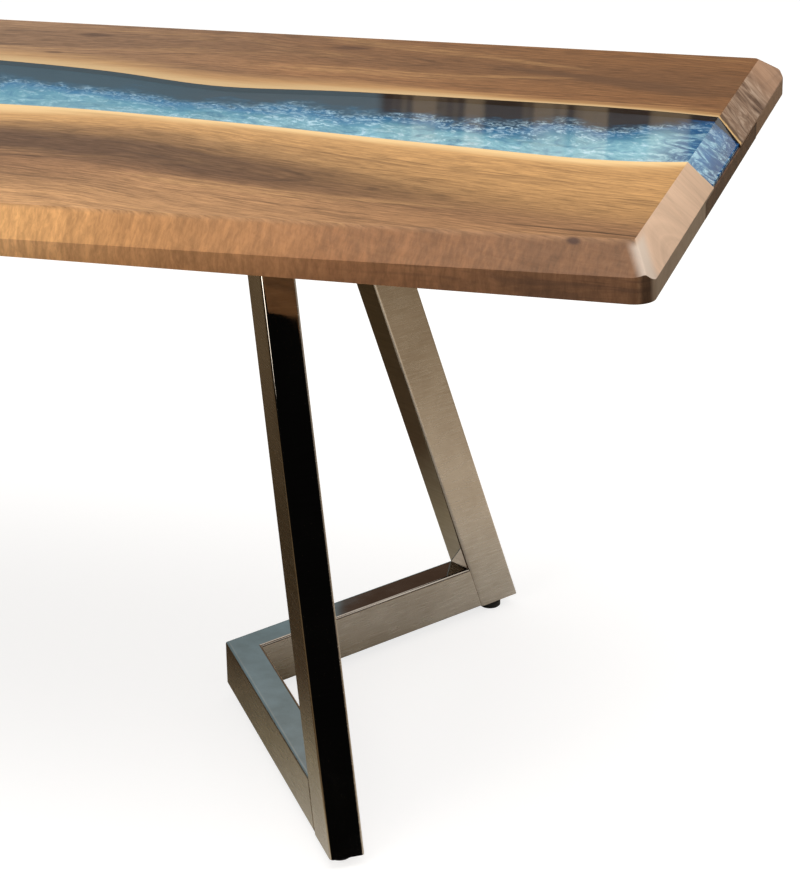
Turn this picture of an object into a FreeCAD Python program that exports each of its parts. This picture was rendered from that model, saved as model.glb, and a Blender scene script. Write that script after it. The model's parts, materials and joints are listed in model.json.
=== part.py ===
import FreeCAD, Part
import Sketcher
import math
import os

# River dining table: two walnut slabs either side of a clear resin river over a blue wave layer,
# carried by two welded V frames of rectangular steel tube on screw-adjusted levelling feet.
# Frame: origin on the floor under the middle of the top, X along the length, Z up, millimetres.

doc = FreeCAD.newDocument("river_table")
sheet = doc.addObject("Spreadsheet::Sheet", "Sizes")

SIZES = (
    ("top_length", 2000, "table top, end to end"),
    ("top_width", 850, "table top, across the two slabs"),
    ("top_height", 750, "floor to the top face"),
    ("top_thickness", 50, "full thickness of the top"),
    ("corner_radius", 22, "plan rounding of the four corners"),
    ("end_chamfer_run", 27, "end chamfer, measured along the top face"),
    ("end_chamfer_drop", 29, "end chamfer, measured down the end face"),
    ("front_run_right", 48, "front chamfer along the top face, right end"),
    ("front_drop_right", 23, "front chamfer down the side face, right end"),
    ("front_run_middle", 14, "front chamfer along the top face, mid length"),
    ("front_drop_middle", 33, "front chamfer down the side face, mid length"),
    ("front_run_left", 24, "front chamfer along the top face, left end"),
    ("front_drop_left", 28, "front chamfer down the side face, left end"),
    ("rear_run", 43, "rear chamfer along the top face"),
    ("rear_drop", 23, "rear chamfer down the side face"),
    ("bed_thickness", 18, "board let in under the river"),
    ("bed_front_edge", 135, "front edge of the bed board from the centre line"),
    ("bed_rear_edge", 200, "rear edge of the bed board from the centre line"),
    ("wave_thickness", 5, "pigmented wave layer poured on the bed"),
    ("apex_setback", 606, "end of the top to the apex of the V frame"),
    ("arm_angle", 55.9, "plan angle between each floor arm and the table's length"),
    ("arm_length", 451, "apex to the outer bottom corner of the leg"),
    ("leg_lean", 19.6, "lean of each leg towards the apex, from upright"),
    ("tube_depth", 60, "tube section in the plane of the frame"),
    ("tube_width", 40, "tube section across the frame"),
    ("tube_wall", 2.5, "tube wall"),
    ("tube_corner", 4, "outer corner radius of the tube"),
    ("floor_gap", 14, "floor to the underside of the frames"),
    ("foot_plate_thickness", 3, "plate that closes the lower end of each leg"),
    ("top_plate_length", 540, "mounting plate across the table"),
    ("top_plate_width", 130, "mounting plate along the table"),
    ("top_plate_thickness", 8, "mounting plate"),
    ("plate_corner", 12, "corner radius of the mounting plate"),
    ("bolt_diameter", 8, "plate bolts"),
    ("bolt_hole", 11, "oversize hole that lets the wood move"),
    ("bolt_head_flats", 13, "plate bolts, across the flats"),
    ("bolt_head_height", 5.3, "plate bolts"),
    ("bolt_reach", 26, "plate bolts, under the head"),
    ("bolt_row_offset", 242, "row of plate bolts from the centre line"),
    ("bolt_spacing", 46, "plate bolts along the row"),
    ("washer_diameter", 22, "washers under the bolt heads"),
    ("washer_thickness", 1.6, "washers under the bolt heads"),
    ("insert_diameter", 12, "threaded inserts in the slabs"),
    ("insert_length", 20, "threaded inserts in the slabs"),
    ("insert_depth", 24, "blind hole for each insert"),
    ("thread_clearance", 0.1, "radial clearance at every thread"),
    ("stem_diameter", 8, "levelling foot screw"),
    ("stem_top", 44, "top of the levelling screw above the floor"),
    ("stem_flats", 10, "hexagon on the levelling screw"),
    ("stem_hex_height", 3.5, "hexagon on the levelling screw"),
    ("nut_flats", 13, "weld nut, across the flats"),
    ("nut_height", 6.5, "weld nut"),
    ("pad_diameter", 28, "levelling foot pad"),
    ("pad_height", 9, "levelling foot pad"),
    ("pad_floor", 2.6, "pad below its swivel pocket"),
    ("pad_edge", 1.5, "bevel round the pad"),
    ("flange_diameter", 14, "swivel flange at the foot of the screw"),
    ("flange_height", 3, "swivel flange at the foot of the screw"),
    ("swivel_clearance", 0.3, "play of the flange in the pad"),
    ("foot_seat_gap", 0.4, "screw hexagon to the plate when screwed home"),
    ("apex_foot_inset", 30, "apex of the V frame to the foot under it"),
)

# River banks: distance of each bank behind the centre line, at even stations from the right end to the left.
FRONT_BANK = (-84, -109, -95, -78, -58, -43, -32, -33, -40, -52, -66, -80, -90, -88, -80, -84, -96)
REAR_BANK = (86, 107, 112, 113, 111, 104, 137, 161, 172, 166, 152, 138, 128, 118, 106, 112, 100)

UNDERSIDE = "(Sizes.top_height - Sizes.top_thickness)"
LEG_TOP = "(Sizes.top_height - Sizes.top_thickness - Sizes.top_plate_thickness)"
LEG_RUN = "(Sizes.tube_depth / cos(Sizes.leg_lean))"
HALF_LENGTH = "(Sizes.top_length / 2)"
HALF_WIDTH = "(Sizes.top_width / 2)"
APEX_X = "(Sizes.top_length / 2 - Sizes.apex_setback)"
FOOT_HOLE = "(Sizes.stem_diameter / 2 + Sizes.thread_clearance)"

# The four corners of the base: side of the table, hand of the frame there and yaw of its floor arm.
ARMS = (
    ("right_front", 1, 1, "-Sizes.arm_angle"),
    ("right_rear", 1, -1, "Sizes.arm_angle"),
    ("left_front", -1, -1, "180 + Sizes.arm_angle"),
    ("left_rear", -1, 1, "180 - Sizes.arm_angle"),
)
ENDS = (("right", 1), ("left", -1))


def fill_sheet():
    """One row for each driving dimension and each bank station: name, number and note."""
    rows = list(SIZES)
    for bank, offsets in (("front_bank", FRONT_BANK), ("rear_bank", REAR_BANK)):
        for station, offset in enumerate(offsets):
            rows.append((f"{bank}_{station}", offset, "river bank station, from the right end"))
    for row, (alias, number, note) in enumerate(rows, start=1):
        sheet.set(f"A{row}", alias)
        sheet.set(f"B{row}", str(number))
        sheet.setAlias(f"B{row}", alias)
        sheet.set(f"C{row}", note)
    doc.recompute()


def value(expression):
    """Number that an expression of the sheet's sizes gives."""
    return float(sheet.evalExpression(expression))


def bind(obj, **expressions):
    """Binds properties to expressions; a double underscore in a name stands for a dot."""
    for name, expression in expressions.items():
        obj.setExpression(name.replace("__", "."), expression)


def place(obj, x="0", y="0", z="0", yaw="0"):
    """Binds an object's place and its turn about the vertical."""
    vector = f"vector({x}; {y}; {z})"
    obj.setExpression("Placement", f"placement({vector}; rotation(vector(0; 0; 1); {yaw}))")


def new_body(label):
    body = doc.addObject("PartDesign::Body", label)
    body.Label = label
    return body


def new_sketch(body, name, plane, offset=None):
    """Empty sketch on one of the body's own origin planes, moved along its normal by an expression."""
    sketch = body.newObject("Sketcher::SketchObject", name)
    support = [feature for feature in body.Origin.OriginFeatures if feature.Role == plane][0]
    sketch.AttachmentSupport = [(support, "")]
    sketch.MapMode = "FlatFace"
    if offset is not None:
        sketch.setExpression("AttachmentOffset.Base.z", offset)
    return sketch


def pin_point(sketch, geometry, position, corner):
    """Holds one point of the sketch at two expressions from the sketch origin."""
    for kind, expression in zip(("DistanceX", "DistanceY"), corner):
        distance = Sketcher.Constraint(kind, -1, 1, geometry, position, value(expression))
        index = sketch.addConstraint(distance)
        sketch.setExpression(f"Constraints[{index}]", expression)


def outline(body, name, plane, corners, offset=None):
    """Closed outline of straight lines, with each corner given by two expressions."""
    sketch = new_sketch(body, name, plane, offset)
    points = [FreeCAD.Vector(value(across), value(up), 0) for across, up in corners]
    count = len(points)
    for index in range(count):
        sketch.addGeometry(Part.LineSegment(points[index], points[(index + 1) % count]), False)
    for index in range(count):
        sketch.addConstraint(Sketcher.Constraint("Coincident", index, 2, (index + 1) % count, 1))
    for index in range(count):
        pin_point(sketch, index, 1, corners[index])
    return sketch


def rectangle(half_across, half_up):
    """Corners of a rectangle about the sketch origin."""
    signs = ((-1, -1), (1, -1), (1, 1), (-1, 1))
    return [(f"{across} * {half_across}", f"{up} * {half_up}") for across, up in signs]


def circle(body, name, plane, centre, radius, offset=None):
    sketch = new_sketch(body, name, plane, offset)
    middle = FreeCAD.Vector(value(centre[0]), value(centre[1]), 0)
    sketch.addGeometry(Part.Circle(middle, FreeCAD.Vector(0, 0, 1), value(radius)), False)
    pin_point(sketch, 0, 3, centre)
    index = sketch.addConstraint(Sketcher.Constraint("Radius", 0, value(radius)))
    sketch.setExpression(f"Constraints[{index}]", radius)
    return sketch


def pad(body, sketch, length, reverse=False):
    feature = body.newObject("PartDesign::Pad", sketch.Name + "_pad")
    feature.Profile = sketch
    feature.setExpression("Length", length)
    feature.Reversed = reverse
    doc.recompute()
    return feature


def pocket(body, sketch, length=None, reverse=False, symmetric=False):
    """Cut along the sketch normal, right through where no length is given; it has to remove material."""
    before = body.Shape.Volume
    feature = body.newObject("PartDesign::Pocket", sketch.Name + "_pocket")
    feature.Profile = sketch
    feature.Reversed = reverse
    if symmetric:
        feature.SideType = "Symmetric"
    if length is None:
        feature.Type = "ThroughAll"
    else:
        feature.setExpression("Length", length)
    doc.recompute()
    if body.Shape.Volume >= before:
        raise RuntimeError(f"{body.Label}: {sketch.Name} removes nothing")
    return feature


def revolve(body, sketch):
    feature = body.newObject("PartDesign::Revolution", sketch.Name + "_revolve")
    feature.Profile = sketch
    feature.ReferenceAxis = (sketch, ["V_Axis"])
    feature.Angle = 360
    doc.recompute()
    return feature


def fillet_along(body, feature, direction, radius):
    """Rounds every straight edge of the feature that runs along a direction."""
    names = []
    for index, edge in enumerate(feature.Shape.Edges, start=1):
        run = edge.tangentAt(edge.FirstParameter)
        if abs(run.dot(direction)) > 0.9999:
            names.append(f"Edge{index}")
    rounding = body.newObject("PartDesign::Fillet", feature.Name + "_round")
    rounding.Base = (feature, names)
    rounding.setExpression("Radius", radius)
    doc.recompute()
    return rounding


def boolean(kind, label, base, tool):
    result = doc.addObject("Part::" + kind, label)
    result.Label = label
    result.Base = base
    result.Tool = tool
    doc.recompute()
    return result


def box(name, length, width, height, x, y, z):
    """Part box with its low corner at x, y, z."""
    solid = doc.addObject("Part::Box", name)
    bind(solid, Length=length, Width=width, Height=height)
    place(solid, x, y, z)
    return solid


def cylinder(name, radius, height, x, y, z):
    solid = doc.addObject("Part::Cylinder", name)
    bind(solid, Radius=radius, Height=height)
    place(solid, x, y, z)
    return solid


def hexagon(name, flats, height, x, y, z):
    """Hexagonal prism, given across its flats."""
    solid = doc.addObject("Part::Prism", name)
    solid.Polygon = 6
    bind(solid, Circumradius=f"{flats} / 2 / cos(30)", Height=height)
    place(solid, x, y, z)
    return solid


def group(label, members):
    result = doc.addObject("Part::Compound", label)
    result.Label = label
    result.Links = members
    doc.recompute()
    return result


# Table top

def chamfer_section(body, name, side, run, drop, station):
    """Triangle across a long edge: the chamfer line, carried half its length past the slab at each end."""
    out = f"{side} * ({HALF_WIDTH} + {run} / 2)"
    inner = f"{side} * ({HALF_WIDTH} - 1.5 * {run})"
    low = f"Sizes.top_height - 1.5 * {drop}"
    high = f"Sizes.top_height + {drop} / 2"
    return outline(body, name, "YZ_Plane", ((out, low), (inner, high), (out, high)), station)


def chamfer_loft(body, name, sections):
    before = body.Shape.Volume
    loft = body.newObject("PartDesign::SubtractiveLoft", name)
    loft.Profile = sections[0]
    loft.Sections = sections[1:]
    doc.recompute()
    if body.Shape.Volume >= before:
        raise RuntimeError(f"{name} removes nothing")


def top_blank():
    """Whole top with its rounded corners and chamfered edges, before the river divides it."""
    body = new_body("top_blank")
    plan = outline(body, "top_plan", "XY_Plane", rectangle(HALF_LENGTH, HALF_WIDTH), UNDERSIDE)
    block = pad(body, plan, "Sizes.top_thickness")
    fillet_along(body, block, FreeCAD.Vector(0, 0, 1), "Sizes.corner_radius")
    for end, sign in ENDS:
        out = f"{sign} * ({HALF_LENGTH} + Sizes.end_chamfer_run / 2)"
        inner = f"{sign} * ({HALF_LENGTH} - 1.5 * Sizes.end_chamfer_run)"
        low = "Sizes.top_height - 1.5 * Sizes.end_chamfer_drop"
        high = "Sizes.top_height + Sizes.end_chamfer_drop / 2"
        wedge = outline(body, f"{end}_end_chamfer", "XZ_Plane", ((out, low), (inner, high), (out, high)))
        pocket(body, wedge, symmetric=True)
    stations = (("right", HALF_LENGTH), ("middle", "0"), ("left", f"-{HALF_LENGTH}"))
    front = []
    for name, at in stations:
        run = f"Sizes.front_run_{name}"
        drop = f"Sizes.front_drop_{name}"
        front.append(chamfer_section(body, f"front_chamfer_{name}", -1, run, drop, at))
    chamfer_loft(body, "front_chamfer", front)
    rear = []
    for name, at in (stations[0], stations[2]):
        rear.append(chamfer_section(body, f"rear_chamfer_{name}", 1, "Sizes.rear_run", "Sizes.rear_drop", at))
    chamfer_loft(body, "rear_chamfer", rear)
    return body


def bank_edge(bank):
    """Live edge of one slab in plan, a smooth curve through its stations, carried just past both ends."""
    length = value("Sizes.top_length")
    level = value(UNDERSIDE)
    last = len(FRONT_BANK) - 1
    overrun = length / last / 20
    points = []
    for station in range(last + 1):
        x = length / 2 - length * station / last
        x += overrun * ((station == 0) - (station == last))
        points.append(FreeCAD.Vector(x, value(f"Sizes.{bank}_{station}"), level))
    curve = Part.BSplineCurve()
    curve.interpolate(points)
    return curve.toShape()


def region(name, edges):
    """Upright prism through the top on a closed chain of plan edges."""
    face = Part.Face(Part.Wire(Part.__sortEdges__(edges)))
    rise = value("Sizes.top_thickness")
    solid = doc.addObject("Part::Feature", name)
    solid.Shape = face.extrude(FreeCAD.Vector(0, 0, rise))
    return solid


def ends_of(edge):
    return edge.valueAt(edge.FirstParameter), edge.valueAt(edge.LastParameter)


def slab_region(name, bank, side):
    """Plan region between a bank and a line outside the long edge of the top."""
    right, left = ends_of(bank)
    outside = side * value("Sizes.top_width")
    right_out = FreeCAD.Vector(right.x, outside, right.z)
    left_out = FreeCAD.Vector(left.x, outside, left.z)
    chain = [bank]
    for start, stop in ((left, left_out), (left_out, right_out), (right_out, right)):
        chain.append(Part.LineSegment(start, stop).toShape())
    return region(name, chain)


def river_region(front, rear):
    front_right, front_left = ends_of(front)
    rear_right, rear_left = ends_of(rear)
    closing = [
        Part.LineSegment(front_left, rear_left).toShape(),
        Part.LineSegment(rear_right, front_right).toShape(),
    ]
    return region("river_region", [front, rear] + closing)


def bed_box(name):
    """Space of the bed board, from end to end of the top."""
    across = "Sizes.bed_front_edge + Sizes.bed_rear_edge"
    front = "-Sizes.bed_front_edge"
    return box(name, "Sizes.top_length", across, "Sizes.bed_thickness", f"-{HALF_LENGTH}", front, UNDERSIDE)


def bolt_places():
    """Name and plan place of each plate bolt, three in a row at each end of each mounting plate."""
    centre = plate_centre()
    for end, sign in ENDS:
        for row, side in (("front", -1), ("rear", 1)):
            for step in (-1, 0, 1):
                x = f"{sign} * {centre} + {step} * Sizes.bolt_spacing"
                yield f"{end}_{row}_{step + 1}", x, f"{side} * Sizes.bolt_row_offset"


def slab(label, blank, side_region, holes):
    """One slab: its side of the top, rabbeted for the bed board and drilled for the inserts."""
    whole = boolean("Common", label + "_whole", blank, side_region)
    rabbeted = boolean("Cut", label + "_rabbeted", whole, bed_box(label + "_rabbet"))
    return boolean("Cut", label, rabbeted, group(label + "_holes", holes))


def river_layer(label, filling, bottom, height):
    """Slice of the river filling between two levels."""
    name = label + "_slice"
    corner = (f"-{HALF_LENGTH}", f"-{HALF_WIDTH}", bottom)
    span = box(name, "Sizes.top_length", "Sizes.top_width", height, *corner)
    return boolean("Common", label, filling, span)


def table_top():
    blank = top_blank()
    front_bank = bank_edge("front_bank")
    rear_bank = bank_edge("rear_bank")
    holes = {"front": [], "rear": []}
    for name, x, y in bolt_places():
        row = name.split("_")[1]
        hole_name = f"{name}_insert_hole"
        hole = cylinder(hole_name, "Sizes.insert_diameter / 2", "Sizes.insert_depth", x, y, UNDERSIDE)
        holes[row].append(hole)
    front = slab("slab_front", blank, slab_region("front_region", front_bank, -1), holes["front"])
    rear = slab("slab_rear", blank, slab_region("rear_region", rear_bank, 1), holes["rear"])
    bed = bed_box("river_bed_board")
    bed.Label = "river_bed_board"
    filling = boolean("Common", "river_filling", blank, river_region(front_bank, rear_bank))
    wave_bottom = f"{UNDERSIDE} + Sizes.bed_thickness"
    clear_bottom = f"{wave_bottom} + Sizes.wave_thickness"
    clear_height = "Sizes.top_thickness - Sizes.bed_thickness - Sizes.wave_thickness"
    wave = river_layer("river_wave_layer", filling, wave_bottom, "Sizes.wave_thickness")
    clear = river_layer("river_clear_resin", filling, clear_bottom, clear_height)
    return [front, rear, bed, wave, clear]


# V frames

def lean_direction():
    lean = math.radians(value("Sizes.leg_lean"))
    return FreeCAD.Vector(-math.sin(lean), 0, math.cos(lean))


def leg_edge(level, inset="0"):
    """Distance from the apex, at a level, of a line along the leg, set in from its outer edge."""
    return f"Sizes.arm_length - {inset} - ({level} - Sizes.floor_gap) * tan(Sizes.leg_lean)"


def leaning_outline(body, name, bottom, top, inner, outer="0", offset=None):
    """Elevation of a piece of the leg between two levels and two lines along it."""
    corners = (
        (leg_edge(bottom, inner), bottom),
        (leg_edge(bottom, outer), bottom),
        (leg_edge(top, outer), top),
        (leg_edge(top, inner), top),
    )
    return outline(body, name, "XZ_Plane", corners, offset)


def stand_arm(body, end_sign, yaw):
    place(body, f"{end_sign} * {APEX_X}", yaw=yaw)


def hollow(body, sketch):
    """Bore of a tube, left one wall inside its two broad faces."""
    pocket(body, sketch, "Sizes.tube_width - 2 * Sizes.tube_wall", symmetric=True)


def mid_plane(hand):
    """Offset of the middle of the tube along the normal of the elevation plane."""
    return f"{-hand} * Sizes.tube_width / 2"


def leg_tube(label, end_sign, hand, yaw):
    """Leaning leg, cut level at the foot plate and under the mounting plate."""
    body = new_body(label)
    bottom = "(Sizes.floor_gap + Sizes.foot_plate_thickness)"
    side = leaning_outline(body, label + "_side", bottom, LEG_TOP, LEG_RUN)
    bar = pad(body, side, "Sizes.tube_width", reverse=hand > 0)
    fillet_along(body, bar, lean_direction(), "Sizes.tube_corner")
    wall = "(Sizes.tube_wall / cos(Sizes.leg_lean))"
    low = f"({bottom} - Sizes.tube_depth)"
    high = f"({LEG_TOP} + Sizes.tube_depth)"
    inner = f"({LEG_RUN} - {wall})"
    hollow(body, leaning_outline(body, label + "_bore", low, high, inner, wall, mid_plane(hand)))
    stand_arm(body, end_sign, yaw)
    return body


def foot_plate(label, end_sign, hand, yaw):
    """Plate that closes the foot of a leg, bored for the levelling screw."""
    body = new_body(label)
    top = "(Sizes.floor_gap + Sizes.foot_plate_thickness)"
    side = leaning_outline(body, label + "_side", "Sizes.floor_gap", top, LEG_RUN)
    plate = pad(body, side, "Sizes.tube_width", reverse=hand > 0)
    fillet_along(body, plate, lean_direction(), "Sizes.tube_corner")
    centre = (f"Sizes.arm_length - {LEG_RUN} / 2", f"{hand} * Sizes.tube_width / 2")
    pocket(body, circle(body, label + "_hole", "XY_Plane", centre, FOOT_HOLE), symmetric=True)
    stand_arm(body, end_sign, yaw)
    return body


def floor_tube(label, end_sign, hand, yaw):
    """Floor arm, mitred at the apex and cut to the lean of the leg at its outer end."""
    body = new_body(label)
    low = "Sizes.floor_gap"
    high = "(Sizes.floor_gap + Sizes.tube_depth)"
    corners = (("0", low), (leg_edge(low, LEG_RUN), low), (leg_edge(high, LEG_RUN), high), ("0", high))
    side = outline(body, label + "_side", "XZ_Plane", corners)
    bar = pad(body, side, "Sizes.tube_width", reverse=hand > 0)
    fillet_along(body, bar, FreeCAD.Vector(1, 0, 0), "Sizes.tube_corner")
    start = "-Sizes.tube_depth"
    stop = "Sizes.arm_length"
    bore_low = f"{low} + Sizes.tube_wall"
    bore_high = f"{high} - Sizes.tube_wall"
    bore_corners = ((start, bore_low), (stop, bore_low), (stop, bore_high), (start, bore_high))
    hollow(body, outline(body, label + "_bore", "XZ_Plane", bore_corners, mid_plane(hand)))
    far_side = f"{hand} * 2 * Sizes.tube_width"
    far_end = "2 * Sizes.tube_width / tan(Sizes.arm_angle)"
    past_apex = "-Sizes.tube_width"
    mitre = (("0", "0"), (far_end, far_side), (past_apex, far_side), (past_apex, "0"))
    pocket(body, outline(body, label + "_mitre", "XY_Plane", mitre), symmetric=True)
    centre = (
        "Sizes.apex_foot_inset * cos(Sizes.arm_angle)",
        f"{hand} * Sizes.apex_foot_inset * sin(Sizes.arm_angle)",
    )
    hole = circle(body, label + "_foot_hole", "XY_Plane", centre, FOOT_HOLE)
    pocket(body, hole, "Sizes.floor_gap + 2 * Sizes.tube_wall", reverse=True)
    stand_arm(body, end_sign, yaw)
    return body


def plate_centre():
    """Middle of the leg tops along the table, which each mounting plate is centred on."""
    outer = leg_edge(LEG_TOP)
    along = f"({outer} - {LEG_RUN} / 2) * cos(Sizes.arm_angle) + Sizes.tube_width / 2 * sin(Sizes.arm_angle)"
    return f"({APEX_X} + {along})"


def top_plate(label, end_sign):
    """Steel plate that joins the two legs of a frame and takes the bolts into both slabs."""
    body = new_body(label)
    half_width = "Sizes.top_plate_width / 2"
    half_length = "Sizes.top_plate_length / 2"
    plan = outline(body, label + "_plan", "XY_Plane", rectangle(half_width, half_length))
    blank = pad(body, plan, "Sizes.top_plate_thickness")
    fillet_along(body, blank, FreeCAD.Vector(0, 0, 1), "Sizes.plate_corner")
    for side in (-1, 1):
        for step in (-1, 0, 1):
            centre = (f"{step} * Sizes.bolt_spacing", f"{side} * Sizes.bolt_row_offset")
            name = f"{label}_hole_{side + 1}_{step + 1}"
            pocket(body, circle(body, name, "XY_Plane", centre, "Sizes.bolt_hole / 2"), symmetric=True)
    place(body, f"{end_sign} * {plate_centre()}", z=LEG_TOP)
    return body


def frames():
    pieces = []
    for corner, end_sign, hand, yaw in ARMS:
        pieces.append(floor_tube(f"{corner}_floor_tube", end_sign, hand, yaw))
        pieces.append(leg_tube(f"{corner}_leg_tube", end_sign, hand, yaw))
        pieces.append(foot_plate(f"{corner}_foot_plate", end_sign, hand, yaw))
    for end, sign in ENDS:
        pieces.append(top_plate(f"{end}_top_plate", sign))
    return pieces


# Fasteners of the mounting plates

def bolt(name, x, y):
    """Hexagon bolt, head down, with its shank up through the plate into an insert."""
    seat = f"({LEG_TOP} - Sizes.washer_thickness)"
    head_bottom = f"{seat} - Sizes.bolt_head_height"
    head = hexagon(f"{name}_bolt_head", "Sizes.bolt_head_flats", "Sizes.bolt_head_height", x, y, head_bottom)
    shank = cylinder(f"{name}_bolt_shank", "Sizes.bolt_diameter / 2", "Sizes.bolt_reach", x, y, seat)
    return boolean("Fuse", f"{name}_bolt", head, shank)


def ring(name, outer, inner, height, x, y, z):
    disc = cylinder(f"{name}_disc", outer, height, x, y, z)
    bore = cylinder(f"{name}_bore", inner, height, x, y, z)
    return boolean("Cut", name, disc, bore)


def plate_fasteners():
    bolts = []
    washers = []
    inserts = []
    bore = "Sizes.bolt_diameter / 2 + Sizes.thread_clearance"
    washer_bottom = f"{LEG_TOP} - Sizes.washer_thickness"
    washer_radius = "Sizes.washer_diameter / 2"
    insert_radius = "Sizes.insert_diameter / 2"
    for name, x, y in bolt_places():
        bolts.append(bolt(name, x, y))
        washer = (washer_radius, bore, "Sizes.washer_thickness", x, y, washer_bottom)
        washers.append(ring(f"{name}_washer", *washer))
        insert = (insert_radius, bore, "Sizes.insert_length", x, y, UNDERSIDE)
        inserts.append(ring(f"{name}_insert", *insert))
    return [group("plate_bolts", bolts), group("plate_washers", washers), group("threaded_inserts", inserts)]


# Levelling feet

def foot_places():
    """Name, plan place and seat level of each foot: one under each leg and one under each apex."""
    along = f"(Sizes.arm_length - {LEG_RUN} / 2)"
    half = "Sizes.tube_width / 2"
    x = f"({APEX_X} + {along} * cos(Sizes.arm_angle) + {half} * sin(Sizes.arm_angle))"
    y = f"({along} * sin(Sizes.arm_angle) - {half} * cos(Sizes.arm_angle))"
    plate_top = "(Sizes.floor_gap + Sizes.foot_plate_thickness)"
    wall_top = "(Sizes.floor_gap + Sizes.tube_wall)"
    for end, sign in ENDS:
        yield f"{end}_front", f"{sign} * {x}", f"-{y}", plate_top
        yield f"{end}_rear", f"{sign} * {x}", y, plate_top
        yield f"{end}_apex", f"{sign} * ({APEX_X} + Sizes.apex_foot_inset)", "0", wall_top


def foot_pad(label, x, y):
    """Round glide with a lipped pocket that traps the flange of the screw."""
    body = new_body(label)
    radius = "Sizes.pad_diameter / 2"
    pocket_radius = "Sizes.flange_diameter / 2 + Sizes.swivel_clearance"
    pocket_top = "Sizes.pad_floor + Sizes.flange_height + 2 * Sizes.swivel_clearance"
    mouth = "Sizes.stem_diameter / 2 + Sizes.swivel_clearance"
    profile = (
        ("0", "0"),
        (f"{radius} - Sizes.pad_edge", "0"),
        (radius, "Sizes.pad_edge"),
        (radius, "Sizes.pad_height - Sizes.pad_edge"),
        (f"{radius} - Sizes.pad_edge", "Sizes.pad_height"),
        (mouth, "Sizes.pad_height"),
        (mouth, pocket_top),
        (pocket_radius, pocket_top),
        (pocket_radius, "Sizes.pad_floor"),
        ("0", "Sizes.pad_floor"),
    )
    revolve(body, outline(body, label + "_profile", "XZ_Plane", profile))
    place(body, x, y)
    return body


def foot_stem(label, x, y):
    """Levelling screw: swivel flange, plain thread and a hexagon just under the frame."""
    body = new_body(label)
    radius = "Sizes.stem_diameter / 2"
    flange_bottom = "Sizes.pad_floor + Sizes.swivel_clearance"
    flange_top = f"{flange_bottom} + Sizes.flange_height"
    profile = (
        ("0", flange_bottom),
        ("Sizes.flange_diameter / 2", flange_bottom),
        ("Sizes.flange_diameter / 2", flange_top),
        (radius, flange_top),
        (radius, "Sizes.stem_top"),
        ("0", "Sizes.stem_top"),
    )
    revolve(body, outline(body, label + "_profile", "XZ_Plane", profile))
    across = "Sizes.stem_flats / 2 / cos(30)"
    turns = [60 * step for step in range(6)]
    corners = [(f"{across} * cos({turn})", f"{across} * sin({turn})") for turn in turns]
    hex_bottom = "Sizes.floor_gap - Sizes.foot_seat_gap - Sizes.stem_hex_height"
    pad(body, outline(body, label + "_flats", "XY_Plane", corners, hex_bottom), "Sizes.stem_hex_height")
    place(body, x, y)
    return body


def weld_nut(name, x, y, seat):
    nut = hexagon(f"{name}_nut_blank", "Sizes.nut_flats", "Sizes.nut_height", x, y, seat)
    bore = cylinder(f"{name}_nut_bore", FOOT_HOLE, "Sizes.nut_height", x, y, seat)
    return boolean("Cut", f"{name}_weld_nut", nut, bore)


def levelling_feet():
    pieces = []
    nuts = []
    for name, x, y, seat in foot_places():
        pieces.append(foot_pad(f"{name}_pad", x, y))
        pieces.append(foot_stem(f"{name}_stem", x, y))
        nuts.append(weld_nut(name, x, y, seat))
    return pieces + [group("weld_nuts", nuts)]


def check_document():
    doc.recompute()
    for obj in doc.Objects:
        if "Invalid" in obj.State or "Error" in obj.State:
            raise RuntimeError(f"{obj.Label} failed: {obj.State}")


def write_nodes(nodes):
    os.makedirs("parts", exist_ok=True)
    for node in nodes:
        shape = node.Shape
        if shape.isNull() or not shape.isValid() or not shape.Solids:
            raise RuntimeError(f"{node.Label} has no valid solid")
    for node in nodes:
        node.Shape.exportStep(os.path.join("parts", node.Label + ".step"))
    print(f"{len(nodes)} nodes, {sum(len(node.Shape.Solids) for node in nodes)} solids")


fill_sheet()
nodes = table_top() + frames() + plate_fasteners() + levelling_feet()
check_document()
write_nodes(nodes)
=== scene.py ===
import json
import math

import bmesh
import bpy
from mathutils import Matrix, Vector, noise


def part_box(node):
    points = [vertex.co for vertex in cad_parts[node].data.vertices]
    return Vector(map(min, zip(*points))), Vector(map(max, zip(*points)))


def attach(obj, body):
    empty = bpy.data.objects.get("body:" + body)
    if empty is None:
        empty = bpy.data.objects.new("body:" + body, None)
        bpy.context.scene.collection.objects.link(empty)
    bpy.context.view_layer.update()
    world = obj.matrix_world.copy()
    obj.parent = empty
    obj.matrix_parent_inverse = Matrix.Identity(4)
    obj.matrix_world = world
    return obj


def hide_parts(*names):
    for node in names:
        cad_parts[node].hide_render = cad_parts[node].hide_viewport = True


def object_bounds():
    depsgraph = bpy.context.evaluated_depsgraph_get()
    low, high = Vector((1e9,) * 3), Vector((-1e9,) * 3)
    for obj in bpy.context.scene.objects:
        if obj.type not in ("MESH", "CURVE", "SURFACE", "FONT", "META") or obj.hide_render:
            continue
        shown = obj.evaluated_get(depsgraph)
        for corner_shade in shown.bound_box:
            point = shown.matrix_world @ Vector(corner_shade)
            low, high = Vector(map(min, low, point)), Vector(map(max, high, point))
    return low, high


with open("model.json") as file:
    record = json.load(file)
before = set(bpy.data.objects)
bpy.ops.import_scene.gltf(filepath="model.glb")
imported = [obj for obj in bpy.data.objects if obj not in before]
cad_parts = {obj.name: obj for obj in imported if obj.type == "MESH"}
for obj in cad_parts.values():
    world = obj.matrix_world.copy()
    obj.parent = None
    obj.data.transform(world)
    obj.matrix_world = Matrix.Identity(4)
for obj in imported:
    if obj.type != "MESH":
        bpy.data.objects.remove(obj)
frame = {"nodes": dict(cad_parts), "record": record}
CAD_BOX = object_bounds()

# Camera of the photograph, in the part's frame: place, aim and roll, and its focal length in pixels.
PHOTO_WIDTH, PHOTO_HEIGHT = 800, 879
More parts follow.
